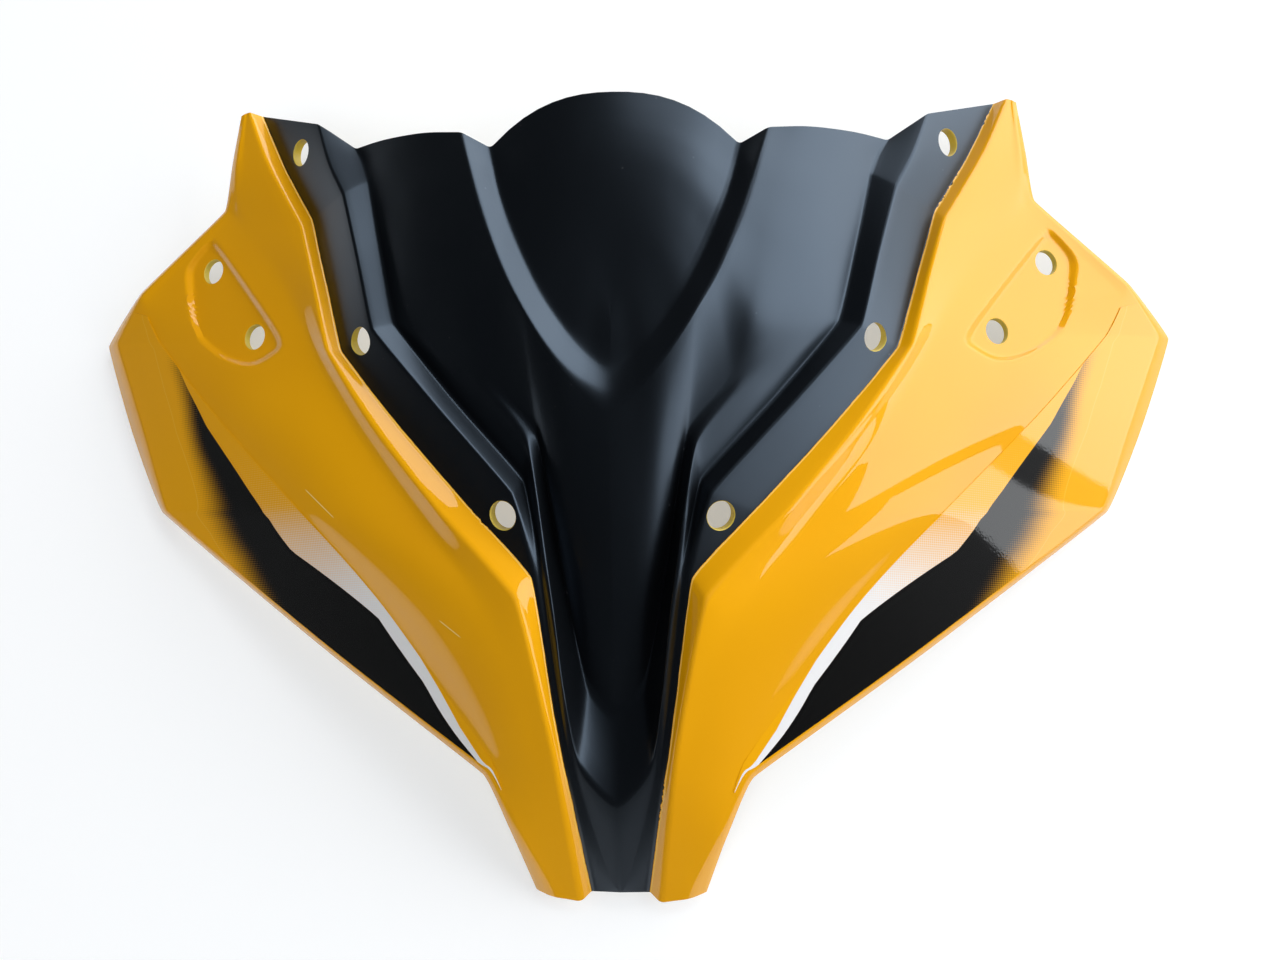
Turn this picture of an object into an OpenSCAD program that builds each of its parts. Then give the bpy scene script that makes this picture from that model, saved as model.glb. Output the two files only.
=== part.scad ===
// One-piece front cowl moulding with two printed films on its wings.
// Millimetres. X runs across, Y runs from the chin to the screen edge, Z up.

/* [Overall] */
// width across the two wing corners
span = 552; // [500:4:620]
// from the arm tips to the ears
reach = 385; // [350:5:430]
// crown above the wing edges
crown = 113; // [100:1:130]
// wall of the moulding
wall = 3; // [2.4:0.1:3.8]

/* [Steps in the skin] */
// how far the painted arms stand above the screen seat
step_rise = 5; // [3:0.5:8]
// drop from the screen seat to the inner panel
band_depth = 8; // [5:0.5:11]
// drop from the inner panel into the dome
vee_depth = 5; // [3:0.5:8]
// depth of the channel at its foot
channel_depth = 20; // [12:1:24]

/* [Holes] */
// screw holes of the screen seat
screw_d = 12.7; // [9:0.1:14]
// holes of the mirror pads
stud_d = 12.2; // [9:0.1:13.5]
// spot face behind each hole
face_d = 16; // [15.4:0.2:17]
// wall left at each screw hole
seat_h = 4; // [3.6:0.1:4.6]

/* [Mirror pads] */
// how deep the pads sit
pad_depth = 2.5; // [1.5:0.1:3]
// wall left at each mirror hole
pad_plate = 3; // [2.5:0.1:3.6]

/* [Films] */
// thickness of the printed films
film_t = 0.3; // [0.2:0.05:0.6]
// air left under the films
film_gap = 0.04; // [0.02:0.01:0.1]

/* [Hidden] */
$fn = 48;
// the feature lines are drawn at this width, length and crown, with these steps
drawn = [552, 385, 113];
drawn_band = 8;
drawn_vee = 5;
drawn_channel = 20;
drawn_step = 5;
kx = span / drawn[0];
ky = reach / drawn[1];
kz = crown / drawn[2];
// rows between two stations
sub = 3;
stations = 11;
rows = (stations - 1) * sub;
d_band = band_depth - drawn_band;
d_vee = vee_depth - drawn_vee;
d_chan = channel_depth - drawn_channel;
d_step = step_rise - drawn_step;

// Feature lines of the right half, one point a station, screen edge first.
vee_in = [[56, 146, 98], [54, 136, 99], [51, 124, 101], [47, 112, 103], [42, 99, 104],
  [37, 88, 105], [31, 76, 106], [24, 65, 106], [16, 55, 106], [8, 48, 105], [0, 45, 105]];
vee_out = [[69, 152, 102], [65, 138, 105], [61, 124, 107], [56, 108, 109], [50, 92, 111],
  [44, 78, 112], [37, 65, 113], [29, 52, 113], [20, 40, 112], [10, 31, 110], [0, 25, 109]];
chan_in = [[86, 155.2, 96], [82, 140.2, 98], [78, 122, 100.2], [72, 96, 102], [64, 62, 101],
  [52, 38, 96.2], [33, 14, 93.6], [23, -44, 72], [17, -76, 59], [12, -94, 51], [0, -106, 46]];
chan_out = [[99, 156.8, 89.5], [95, 142.5, 91.5], [91, 122.3, 94], [87, 94, 94.6], [78, 62, 93.6],
  [58, 38, 95], [37, 11, 96], [27, -50, 84], [22, -95, 68], [16, -129, 50], [0, -146, 41]];
nose = [[112, 158.4, 81.5], [108, 147, 84], [104, 131, 86], [99, 100, 87.8], [90, 65, 87.4],
  [67, 37, 90], [38, 3, 92], [29, -46, 85], [22.3, -104, 63], [16.3, -141, 41], [0, -190, 6]];
band_foot = [[126, 159, 72], [121, 151, 74.5], [117, 140, 77.5], [110, 107.5, 80], [101, 69, 81],
  [73, 34, 84], [39, -5, 88], [31, -45, 84], [23, -110, 59], [17, -150, 35], [11, -190, 4]];
band_top = [[145, 172, 72], [137, 150, 78], [128, 132, 82], [119, 100, 85], [110, 65, 86],
  [80, 30, 90], [43, -12, 95], [33.5, -46, 85], [24.5, -111, 59], [18.5, -150, 35], [12.5, -190, 4]];
seat_edge = [[182, 189, 47], [166, 157, 54], [149, 128, 61], [139, 95, 66], [128, 59, 71],
  [98, 22, 78], [62, -18, 84], [35, -48, 84], [26, -112, 58], [20, -150, 34], [14, -190, 3]];
ridge = [[187, 189, 52], [173, 158, 59], [152, 122, 67], [144, 96, 71], [134, 59, 75],
  [109, 22, 81], [76, -19, 87], [41, -57, 89], [29, -113, 62], [24, -150, 38], [19, -195, 3]];
valley = [[189, 189, 51], [189.5, 160, 51], [189, 135, 48], [160, 94, 60], [142, 62, 67],
  [117, 20, 73], [84, -22, 77], [54, -64, 79], [36, -115, 58], [29, -151, 36], [25, -194, 3]];
film_line = [[190, 188.6, 51], [193, 162, 50], [195.5, 138, 44], [246, 99, 24], [237, 78, 24],
  [200, 37, 38], [150, -13, 51], [107, -58, 52], [58, -127, 40], [47, -159, 26], [33, -193, 3]];
outline = [[192, 188, 50], [196, 165, 47], [201, 141, 41], [250, 105, 22], [276, 83, 0],
  [259, 35, 0], [240, -6, 0], [148, -74, 20], [63, -134, 33], [51, -161, 21], [41, -190, 0]];

// Turned-down lip of the outline, inward width and height a station.
lip = [[0.8, 0.4], [1.2, 1], [1.6, 1.2], [2, 2], [6, 6], [6.5, 7], [3.2, 5], [2.2, 4],
  [2, 3], [2, 3], [1.5, 1]];

// How soft each line is at its stations, 1 round and 0 a clear bend.
soft = [for (s = [0 : stations - 1]) 1];
bent = [1, 1, 0.2, 1, 0.2, 1, 0.3, 0.3, 1, 1, 1];
bent_edge = [1, 1, 0.2, 0.3, 0.15, 1, 0.15, 1, 0.2, 1, 1];
bent_chan = [1, 1, 1, 1, 1, 1, 0.5, 1, 1, 0.7, 0.7];

// How much each recess works on a line at its stations.
all_in = [for (s = [0 : stations - 1]) 1];
band_fade = [1, 1, 1, 1, 1, 1, 1, 0.3, 0, 0, 0];
chan_fade = [0, 0, 0, 0, 0, 0, 0.1, 0.6, 0.9, 1, 1];
step_fade = [1, 1, 1, 1, 1, 1, 1, 1, 1, 1, 0];

// Middle line of the dome, straight in plan: where it starts, its step a station, its swell and fall.
dome_start = [165, 112];
dome_step = 9.9;
dome_swell = [2, 28];
dome_fall = 0.28;
middle = [for (s = [0 : stations - 1]) [0, dome_start[0] - dome_step * s,
  dome_start[1] + dome_swell[0] * sin(dome_swell[1] * s) - dome_fall * s]];
lip_line = [for (s = [0 : stations - 1]) let (o = outline[s], m = film_line[s],
  d = [m[0] - o[0], m[1] - o[1]]) [o[0] + lip[s][0] * d[0] / norm(d),
  o[1] + lip[s][0] * d[1] / norm(d), o[2] + lip[s][1]]];

function drop(line, depth, fade) = [for (s = [0 : stations - 1]) line[s] - [0, 0, depth * fade[s]]];

// Lines in order from the middle outward, then how each is bent.
lines = [drop(middle, d_band + d_vee, all_in), drop(vee_in, d_band + d_vee, all_in),
  drop(vee_out, d_band, all_in), drop(drop(chan_in, d_band, band_fade), d_chan, chan_fade),
  drop(chan_out, d_band, band_fade), drop(nose, d_band, band_fade),
  drop(band_foot, d_band, band_fade), band_top, seat_edge, drop(ridge, -d_step, step_fade),
  valley, film_line, lip_line, outline];
bends = [soft, soft, soft, bent_chan, bent_chan, bent_chan, bent, bent, bent, bent, soft,
  bent_edge, bent_edge, bent_edge];
// cells across each strip between two lines
cells = [4, 2, 4, 2, 2, 2, 2, 3, 2, 2, 6, 3, 1];
// rise of each strip over its chord
bulge_flat = [for (s = [0 : stations - 1]) 0];
bulge_floor = [0, 0, 0, 0, 0, 0.5, 1.5, 3, 5, 7, 8];
bulge_wing = [0, 0, 0, -1, 1, 3, 4, 3, 1, 0, 0];
bulges = [bulge_flat, bulge_flat, bulge_floor, bulge_flat, bulge_flat, bulge_flat, bulge_flat,
  bulge_flat, bulge_flat, bulge_flat, bulge_wing, bulge_flat, bulge_flat];

// A line that ends on the middle plane crosses it square.
function tangent(p, k, w) = k == stations - 1 && p[k][0] == 0 ? [-w * p[k - 1][0], 0, 0]
  + (p[k - 1][0] == 0 ? p[k] - p[k - 1] : [0, 0, 0])
  : w * (p[min(k + 1, stations - 1)] - p[max(k - 1, 0)]) / (k == 0 || k == stations - 1 ? 1 : 2);
function along(p, w, u) = let (k = min(floor(u), stations - 2), t = u - k, a = p[k], b = p[k + 1],
  ma = tangent(p, k, w[k]), mb = tangent(p, k + 1, w[k + 1]))
  (2 * t * t * t - 3 * t * t + 1) * a + (t * t * t - 2 * t * t + t) * ma
  + (3 * t * t - 2 * t * t * t) * b + (t * t * t - t * t) * mb;
// Values of a table joined by one smooth curve.
function level(p, u) = let (k = min(floor(u), stations - 2), t = u - k, a = p[max(k - 1, 0)], b = p[k],
  c = p[k + 1], d = p[min(k + 2, stations - 1)]) b + t / 2 * (c - a
  + t * (2 * a - 5 * b + 4 * c - d + t * (3 * (b - c) + d - a)));

// How late the dome's rows turn down to the V.
dome_bend = 2.6;
// Point of the drawn skin at station u of strip j, t across it. The dome starts level at its middle.
function skin(u, j, t) = let (a = along(lines[j], bends[j], u), b = along(lines[j + 1], bends[j + 1], u),
  c = a + t * (b - a), round_y = j == 0 ? pow(t, dome_bend) : t,
  round_z = j == 0 ? pow(t, 2 + 2 * (dome_bend - 1) * pow(u / (stations - 1), 4)) : t)
  [kx * c[0], ky * (a[1] + round_y * (b[1] - a[1])),
  kz * (a[2] + round_z * (b[2] - a[2]) + 4 * t * (1 - t) * level(bulges[j], u))];

// Screw holes of the seat as station and share across it.
screw_strip = 7;
screws = [[0.70, 0.52], [4.08, 0.43], [6.26, 0.43]];

// Columns of the grid as strip and share.
columns = [for (j = [0 : len(cells) - 1]) for (c = [0 : cells[j] - 1]) [j, c / cells[j]],
  [len(cells) - 1, 1]];
cols = len(columns) - 1;
// last column whose foot lies on the middle line
foot_col = cells[0] + cells[1] + cells[2] + cells[3] + cells[4];

grid = [for (i = [0 : rows]) [for (c = columns) skin(i / sub, c[0], c[1])]];

function on_middle(i, c) = c == 0 || (i == rows && c <= foot_col);
function cell_normal(i, c) = let (a = grid[i][c], b = grid[i][c + 1], d = grid[i + 1][c],
  e = grid[i + 1][c + 1], n = cross(a - e, d - b)) n / max(norm(n), 0.001);
function turn_up(n) = n[2] < 0 ? -n : n;
// cells that touch a corner, averaged and then turned square to the middle plane there
function corner_normal(i, c) = let (
  near = [for (a = [max(i - 1, 0) : min(i, rows - 1)]) for (b = [max(c - 1, 0) : min(c, cols - 1)])
    turn_up(cell_normal(a, b))],
  s = [for (k = 0, v = near[0]; k < len(near); k = k + 1, v = k < len(near) ? v + near[k] : v) v],
  v = s[len(s) - 1], w = on_middle(i, c) ? [0, v[1], v[2]] : v) w / norm(w);

normals = [for (i = [0 : rows]) [for (c = [0 : cols]) corner_normal(i, c)]];
// The inner face is set off along one slowly turning direction, so it can't fold at a bend.
turn_radius = [320, 380];
function inward(p) = let (v = [p[0] / turn_radius[0], min(p[1], 0) / turn_radius[1], 1]) v / norm(v);
// The wall is thicker under the pads and at the screw holes, fading over a few centimetres.
pad_swell = [[181, 80, 30], [203, 104, 33]];
screw_swell = 17;
swell_fade = 14;
swell_spare = 0.9;
// least cosine by which the wall is lengthened on a slope
steepest = 0.6;
function fade(p, q, r) = max(0, min(1, 1 + (r - norm([p[0] / kx - q[0], p[1] / ky - q[1]])) / swell_fade));
function thick(p) = wall + max(concat(
  [for (q = pad_swell) fade(p, q, q[2]) * (pad_depth + pad_plate - wall + swell_spare)],
  [for (h = screws) let (q = skin(h[0], screw_strip, h[1]))
    fade(p, [q[0] / kx, q[1] / ky], screw_swell) * max(0, seat_h - wall + swell_spare)]));
under = [for (i = [0 : rows]) [for (c = [0 : cols]) let (p = grid[i][c], d = inward(p))
  p - thick(p) / max(steepest, d * normals[i][c]) * d]];

// The drawn skin is moved so that the part stands on Z 0 with its box centred.
low = min([for (r = under) min([for (p = r) p[2]])]);
front = min([for (r = concat(grid, under)) min([for (p = r) p[1]])]);
back = max([for (r = concat(grid, under)) max([for (p = r) p[1]])]);
shift = [0, -(front + back) / 2, -low];

width_n = cols + 1;
count = (rows + 1) * width_n;
function at(i, c, layer, left) = (left && !on_middle(i, c) ? 2 * count : 0) + layer * count
  + i * width_n + c;
function flip(p) = [-p[0], p[1], p[2]];
flat_top = [for (r = grid) for (p = r) p + shift];
flat_low = [for (r = under) for (p = r) p + shift];
shell_points = concat(flat_top, flat_low, [for (p = flat_top) flip(p)], [for (p = flat_low) flip(p)]);

function order(f, back_to_front) = back_to_front ? [f[2], f[1], f[0]] : f;
function pair(a, b, c, d, rev) = [order([a, b, c], rev), order([a, c, d], rev)];
// edge of the half shell as corners in turn
rim = concat([for (c = [0 : cols]) [0, c]], [for (i = [1 : rows]) [i, cols]],
  [for (c = [cols - 1 : -1 : foot_col]) [rows, c]]);
shell_faces = [for (left = [false, true]) each concat(
  [for (i = [0 : rows - 1]) for (c = [0 : cols - 1]) for (f = pair(at(i, c + 1, 0, left),
    at(i, c, 0, left), at(i + 1, c, 0, left), at(i + 1, c + 1, 0, left), left)) f],
  [for (i = [0 : rows - 1]) for (c = [0 : cols - 1]) for (f = pair(at(i, c + 1, 1, left),
    at(i, c, 1, left), at(i + 1, c, 1, left), at(i + 1, c + 1, 1, left), !left)) f],
  [for (k = [0 : len(rim) - 2]) let (p = rim[k], q = rim[k + 1]) for (f = pair(
    at(p[0], p[1], 0, left), at(p[0], p[1], 1, left), at(q[0], q[1], 1, left),
    at(q[0], q[1], 0, left), !left)) f])];

module skin_shell() {
  polyhedron(points = shell_points, faces = shell_faces, convexity = 12);
}

// Frame at point p with its Z along n and its X level with the row of the grid.
module on_axis(p, n) {
  z = n / norm(n);
  x = [z[2], 0, -z[0]] / norm([z[2], 0, -z[0]]);
  y = cross(z, x);
  multmatrix([[x[0], y[0], z[0], p[0]], [x[1], y[1], z[1], p[1]], [x[2], y[2], z[2], p[2]],
    [0, 0, 0, 1]]) children();
}

function skin_normal(u, j, t) = let (n = cross(skin(u - 0.05, j, t) - skin(u + 0.05, j, t),
  skin(u, j, t + 0.05) - skin(u, j, t - 0.05))) turn_up(n) / norm(n);

module at_screw(k) {
  h = screws[k];
  on_axis(skin(h[0], screw_strip, h[1]) + shift, skin_normal(h[0], screw_strip, h[1])) children();
}

// Plane of the mirror pads, its outline in plan and its two holes.
pad_rise = 128.05;
pad_slope = [-0.437 * kz / kx, 0.02 * kz / ky];
pad_up = [-pad_slope[0], -pad_slope[1], 1] / norm([pad_slope[0], pad_slope[1], 1]);
pad_outline = [[206, 126], [184, 98], [164, 72], [162, 66], [165, 63], [178, 57.5], [194, 63],
  [204, 70], [211, 76], [215, 83], [218, 92], [220, 103], [221.5, 113], [218, 118.5], [213, 123], [210, 126]];
pad_middle = [194, 92];
pad_holes = [[206, 110.7], [178.3, 73]];
function pad_at(q) = [kx * q[0], ky * q[1],
  kz * pad_rise + pad_slope[0] * kx * q[0] + pad_slope[1] * ky * q[1]];

// The pad's outline as a prism, from its floor up past the skin.
module pad_sink() {
  wide = span / 3;
  intersection() {
    linear_extrude(crown + pad_clear) polygon([for (q = pad_outline) [kx * q[0], ky * q[1]]]);
    on_axis(pad_at(pad_middle) - pad_depth * pad_up, pad_up)
      translate([-wide / 2, -wide / 2, 0]) cube([wide, wide, pad_clear]);
  }
}

module at_pad_hole(k) {
  on_axis(pad_at(pad_holes[k]) - pad_depth * pad_up, pad_up) children();
}

// Bores with a spot face behind each, and the sunk mirror pad.
face_clear = 12;
pad_clear = 20;
module faced_bore(d, left) {
  translate([0, 0, -left - face_clear]) cylinder(d = face_d, h = face_clear);
  translate([0, 0, -left - 1]) cylinder(d = d, h = left + 1 + face_clear);
}

module right_cut() {
  for (k = [0 : 2]) at_screw(k) faced_bore(screw_d, seat_h);
  translate(shift) {
    pad_sink();
    for (k = [0 : 1]) at_pad_hole(k) faced_bore(stud_d, pad_plate);
  }
}

module fairing() {
  color("#e0a000") difference() {
    skin_shell();
    right_cut();
    mirror([1, 0, 0]) right_cut();
  }
}

// Films lie over the cells between the film line and the lip, a little short of both ends.
film_rows = [10, 25];
film_cols = [cols - cells[12] - cells[11], cols - cells[12]];
film_wide = film_cols[1] - film_cols[0] + 1;
film_long = film_rows[1] - film_rows[0] + 1;
function film_layer(h) = [for (i = [film_rows[0] : film_rows[1]]) for (c = [film_cols[0] : film_cols[1]])
  grid[i][c] + h * normals[i][c] + shift];
function fa(i, c, layer) = layer * film_wide * film_long + i * film_wide + c;
film_rim = concat([for (c = [0 : film_wide - 1]) [0, c]], [for (i = [1 : film_long - 1]) [i, film_wide - 1]],
  [for (c = [film_wide - 2 : -1 : 0]) [film_long - 1, c]], [for (i = [film_long - 2 : -1 : 0]) [i, 0]]);
film_faces = concat(
  [for (layer = [0, 1]) for (i = [0 : film_long - 2]) for (c = [0 : film_wide - 2])
    for (f = pair(fa(i, c + 1, layer), fa(i, c, layer), fa(i + 1, c, layer), fa(i + 1, c + 1, layer),
      layer == 1)) f],
  [for (k = [0 : len(film_rim) - 2]) let (p = film_rim[k], q = film_rim[k + 1]) for (f = pair(
    fa(p[0], p[1], 0), fa(p[0], p[1], 1), fa(q[0], q[1], 1), fa(q[0], q[1], 0), true)) f]);

module film() {
  polyhedron(points = concat(film_layer(film_gap + film_t), film_layer(film_gap)), faces = film_faces,
    convexity = 6);
}

module decal_right() {
  color("#202020") film();
}

module decal_left() {
  color("#202020") mirror([1, 0, 0]) film();
}

fairing();
decal_left();
decal_right();
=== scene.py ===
import math
import bpy
import bmesh
from mathutils import Matrix, Vector


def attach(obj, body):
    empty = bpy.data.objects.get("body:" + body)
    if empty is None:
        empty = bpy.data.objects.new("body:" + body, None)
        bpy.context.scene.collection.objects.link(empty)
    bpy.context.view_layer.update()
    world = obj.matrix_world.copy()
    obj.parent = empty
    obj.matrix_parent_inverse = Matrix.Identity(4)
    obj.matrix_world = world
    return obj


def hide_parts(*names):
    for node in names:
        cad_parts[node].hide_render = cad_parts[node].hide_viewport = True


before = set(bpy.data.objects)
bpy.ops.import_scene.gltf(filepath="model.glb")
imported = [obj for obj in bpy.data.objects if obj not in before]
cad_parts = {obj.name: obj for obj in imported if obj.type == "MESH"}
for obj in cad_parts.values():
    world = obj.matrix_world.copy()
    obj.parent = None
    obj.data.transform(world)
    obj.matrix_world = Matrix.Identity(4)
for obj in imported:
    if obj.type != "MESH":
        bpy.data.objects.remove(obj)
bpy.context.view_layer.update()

mm = 0.001
uvUnit = 100  # millimetres that one unit of a UV map stands for
sharpAngle = math.radians(35)

# The camera comes first: it looks down on the part from above the chin.
cameraView = {
    "place": (0.0402, -0.0940, 0.6135),
    "turn": (10.01, 2.99, 0.43),  # degrees about X, Y and Z
    "lens": 34.24,
    "sensor": 36,
}


def addCamera(view):
    camera = bpy.data.objects.new("camera", bpy.data.cameras.new("camera"))
    camera.data.sensor_width = view["sensor"]
    camera.data.lens = view["lens"]
    camera.data.clip_start = 0.01
    camera.location = view["place"]
    camera.rotation_euler = [math.radians(a) for a in view["turn"]]
    bpy.context.scene.collection.objects.link(camera)
    bpy.context.scene.camera = camera


addCamera(cameraView)
print("camera is set")

# Lines of the right half of the skin in millimetres, from the screen edge down to the chin,
# then how soft each line bends at its stations and how wide its fold is rounded.
shell = {
    "move": (0, 3, 3.31),  # the drawn skin is moved to stand on the floor, centred
    "stations": 11,
    "rowsPerStation": 14,
    "wall": 3,
    # place, reach and extra wall under each pad hole and at each screw hole, and how slowly it fades
    "thicker": [(181, 80, 30, 3.4), (203, 104, 33, 3.4), (155.5, 161.5, 17, 1.9), (117.1, 61.4, 17, 1.9),
                (47.4, -20.8, 17, 1.9)],
    "fadeWidth": 14,
    "leanRadius": (320, 380),  # the inner face is set off along a direction that turns this slowly
    "steepest": 0.6,
    "foldShare": 0.48,  # most of a strip that the rounding of one fold may take
    "mergeWithin": 0.05,
    "tooSmall": 0.01,
    "lines": {
        "middle": [(0, 165 - 9.9 * s, 112 + 2 * math.sin(math.radians(28 * s)) - 0.28 * s)
                   for s in range(11)],
        "veeIn": [(56, 146, 98), (54, 136, 99), (51, 124, 101), (47, 112, 103), (42, 99, 104),
                  (37, 88, 105), (31, 76, 106), (24, 65, 106), (16, 55, 106), (8, 48, 105), (0, 45, 105)],
        "veeOut": [(69, 152, 102), (65, 138, 105), (61, 124, 107), (56, 108, 109), (50, 92, 111),
                   (44, 78, 112), (37, 65, 113), (29, 52, 113), (20, 40, 112), (10, 31, 110), (0, 25, 109)],
        "channelIn": [(86, 155.2, 96), (82, 140.2, 98), (78, 122, 100.2), (72, 96, 102), (64, 62, 101),
                      (52, 38, 96.2), (33, 14, 93.6), (23, -44, 72), (17, -76, 59), (12, -94, 51),
                      (0, -106, 46)],
        "channelOut": [(99, 156.8, 89.5), (95, 142.5, 91.5), (91, 122.3, 94), (87, 94, 94.6), (78, 62, 93.6),
                       (58, 38, 95), (37, 11, 96), (27, -50, 84), (22, -95, 68), (16, -129, 50),
                       (0, -146, 41)],
        "nose": [(112, 158.4, 81.5), (108, 147, 84), (104, 131, 86), (99, 100, 87.8), (90, 65, 87.4),
                 (67, 37, 90), (38, 3, 92), (29, -46, 85), (22.3, -104, 63), (16.3, -141, 41),
                 (0, -190, 6)],
        "bandFoot": [(126, 159, 72), (121, 151, 74.5), (117, 140, 77.5), (110, 107.5, 80), (101, 69, 81),
                     (73, 34, 84), (39, -5, 88), (31, -45, 84), (23, -110, 59), (17, -150, 35),
                     (11, -190, 4)],
        "bandTop": [(145, 172, 72), (137, 150, 78), (128, 132, 82), (119, 100, 85), (110, 65, 86),
                    (80, 30, 90), (43, -12, 95), (33.5, -46, 85), (24.5, -111, 59), (18.5, -150, 35),
                    (12.5, -190, 4)],
        "paintLine": [(182, 189, 47), (166, 157, 54), (149, 128, 61), (139, 95, 66), (128, 59, 71),
                      (98, 22, 78), (62, -18, 84), (35, -48, 84), (26, -112, 58), (20, -150, 34),
                      (14, -190, 3)],
        "ridge": [(187, 189, 52), (173, 158, 59), (152, 122, 67), (144, 96, 71), (134, 59, 75),
                  (109, 22, 81), (76, -19, 87), (41, -57, 89), (29, -113, 62), (24, -150, 38),
                  (19, -195, 3)],
        "valley": [(189, 189, 51), (189.5, 160, 51), (189, 135, 48), (160, 94, 60), (142, 62, 67),
                   (117, 20, 73), (84, -22, 77), (54, -64, 79), (36, -115, 58), (29, -151, 36),
                   (25, -194, 3)],
        "filmLine": [(190, 188.6, 51), (193, 162, 50), (195.5, 138, 44), (246, 99, 24), (237, 78, 24),
                     (200, 37, 38), (150, -13, 51), (107, -58, 52), (58, -127, 40), (47, -159, 26),
                     (33, -193, 3)],
        "outline": [(192, 188, 50), (196, 165, 47), (201, 141, 41), (250, 105, 22), (276, 83, 0),
                    (259, 35, 0), (240, -6, 0), (148, -74, 20), (63, -134, 33), (51, -161, 21),
                    (41, -190, 0)],
    },
    # inward width and height of the turned-down edge
    "lip": [(0.8, 0.4), (1.2, 1), (1.6, 1.2), (2, 2), (6, 6), (6.5, 7), (3.2, 5), (2.2, 4), (2, 3), (2, 3),
            (1.5, 1)],
    "bends": {
        "channelIn": [1, 1, 1, 1, 1, 1, 0.5, 1, 1, 0.7, 0.7],
        "channelOut": [1, 1, 1, 1, 1, 1, 0.5, 1, 1, 0.7, 0.7],
        "nose": [1, 1, 1, 1, 1, 1, 0.5, 1, 1, 0.7, 0.7],
        "bandFoot": [1, 1, 0.2, 1, 0.2, 1, 0.3, 0.3, 1, 1, 1],
        "bandTop": [1, 1, 0.2, 1, 0.2, 1, 0.3, 0.3, 1, 1, 1],
        "paintLine": [1, 1, 0.2, 1, 0.2, 1, 0.3, 0.3, 1, 1, 1],
        "ridge": [1, 1, 0.2, 1, 0.2, 1, 0.3, 0.3, 1, 1, 1],
        "filmLine": [1, 1, 0.2, 0.3, 0.15, 1, 0.15, 1, 0.2, 1, 1],
        "lipLine": [1, 1, 0.2, 0.3, 0.15, 1, 0.15, 1, 0.2, 1, 1],
        "outline": [1, 1, 0.2, 0.3, 0.15, 1, 0.15, 1, 0.2, 1, 1],
    },
    "rounding": {
        "veeIn": [2] * 8 + [2.5, 3.5, 5],
        "veeOut": [1.8] * 8 + [2.5, 4, 6],
        "channelIn": [20, 20, 20, 20, 14, 3, 2, 2.5, 3, 4, 5],
        "channelOut": [20, 20, 20, 20, 14, 3, 1.5, 1.5, 2, 3, 3.5],
        "nose": [20, 20, 20, 20, 14, 6, 3, 2, 2, 3, 0],
        "bandFoot": [1.6] * 7 + [2] * 4,
        "bandTop": [1.3] * 7 + [2] * 4,
        "paintLine": [1.2] * 11,
        "ridge": [2] * 4 + [2.4] * 7,
        "valley": [4.5] * 11,
        "filmLine": [8] * 11,
        "lipLine": [1.6, 1.6, 1.6, 2, 4, 4.5, 3, 1.6, 1.6, 1.6, 1.6],
    },
    "domeBend": 2.6,
    "roundCells": 5,
    "cells": [8, 4, 8, 3, 3, 4, 4, 7, 3, 3, 16, 7, 3],
    "bulges": {
        2: [0, 0, 0, 0, 0, 0.5, 1.5, 3, 5, 7, 8],
        10: [0, 0, 0, -1, 1, 3, 4, 3, 1, 0, 0],
    },
}


def lipLine(spec):
    line = []
    for outer, inner, (wide, high) in zip(spec["lines"]["outline"], spec["lines"]["filmLine"], spec["lip"]):
        step = Vector((inner[0] - outer[0], inner[1] - outer[1])).normalized() * wide
        line.append((outer[0] + step.x, outer[1] + step.y, outer[2] + high))
    return line


lineNames = ["middle", "veeIn", "veeOut", "channelIn", "channelOut", "nose", "bandFoot", "bandTop",
             "paintLine", "ridge", "valley", "filmLine", "lipLine", "outline"]
shell["lines"]["lipLine"] = lipLine(shell)


def followLine(name, station):
    points = shell["lines"][name]
    last = shell["stations"] - 1
    bend = shell["bends"].get(name, [1] * (last + 1))
    k = min(int(station), last - 1)
    t = station - k

    def lean(i):
        a, b = Vector(points[max(i - 1, 0)]), Vector(points[min(i + 1, last)])
        if i == last and points[i][0] == 0 and a.x > 0:  # crosses the middle plane square
            return Vector((-a.x * bend[i], 0, 0))
        return (b - a) * bend[i] / (1 if i in (0, last) else 2)

    return ((2 * t ** 3 - 3 * t ** 2 + 1) * Vector(points[k]) + (t ** 3 - 2 * t ** 2 + t) * lean(k)
            + (3 * t ** 2 - 2 * t ** 3) * Vector(points[k + 1]) + (t ** 3 - t ** 2) * lean(k + 1))


def stationValue(values, station):  # one smooth curve through a table
    k = min(int(station), len(values) - 2)
    t = station - k
    a, b, c, d = values[max(k - 1, 0)], values[k], values[k + 1], values[min(k + 2, len(values) - 1)]
    return b + t / 2 * (c - a + t * (2 * a - 5 * b + 4 * c - d + t * (3 * (b - c) + d - a)))


def stripPoint(ends, station, strip, t):
    a, b = ends[strip], ends[strip + 1]
    rise = stationValue(shell["bulges"][strip], station) if strip in shell["bulges"] else 0
    point = a + t * (b - a)
    if strip == 0:  # the dome starts level at the middle
        bend = shell["domeBend"]
        point.y = a.y + t ** bend * (b.y - a.y)
        down = station / (shell["stations"] - 1)
        point.z = a.z + t ** (2 + 2 * (bend - 1) * down ** 4) * (b.z - a.z)
    point.z += 4 * t * (1 - t) * rise
    return point


# Columns of the skin from the middle outward: flat stretches of each strip, and rounded folds between.
def skinColumns(spec):
    columns = []
    for strip, count in enumerate(spec["cells"]):
        if strip > 0:
            columns += [("fold", strip, i / spec["roundCells"]) for i in range(spec["roundCells"])]
        columns += [("flat", strip, i / count) for i in range(count)]
    return columns + [("flat", len(spec["cells"]) - 1, 1)]


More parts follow.
